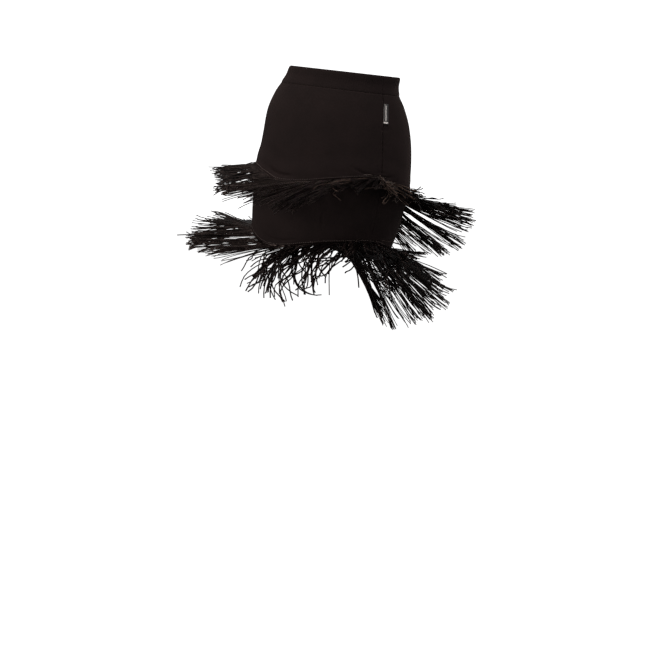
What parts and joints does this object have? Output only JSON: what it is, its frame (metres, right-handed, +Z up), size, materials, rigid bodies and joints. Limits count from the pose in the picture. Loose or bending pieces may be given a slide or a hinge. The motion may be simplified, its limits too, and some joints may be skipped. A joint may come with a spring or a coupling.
{
  "type": "fringe skirt",
  "caption": "Pull-on stretch-jersey dance skirt with an elastic waistband and two tiers of long chainette fringe flying outwards as in a spin.",
  "frame": {"origin": "centre of the waist opening, at the waistband's top edge", "axes": "+Z up, out of the waist opening; -Y is the skirt's front; +X is the skirt's left side, where the label is"},
  "size_m": [0.6082, 0.5013, 0.5305],
  "materials": {
    "jersey": "matte black stretch jersey",
    "fringe": "black rayon chainette with a slight sheen",
    "label": "black woven satin tape with a pale bar"
  },
  "bodies": {
    "root": {"waistband": "jersey", "upper_front": "jersey", "upper_back": "jersey", "lower_front": "jersey", "lower_back": "jersey", "upper_fringe": "fringe", "lower_fringe": "fringe", "label": "label"}
  },
  "joints": []
}
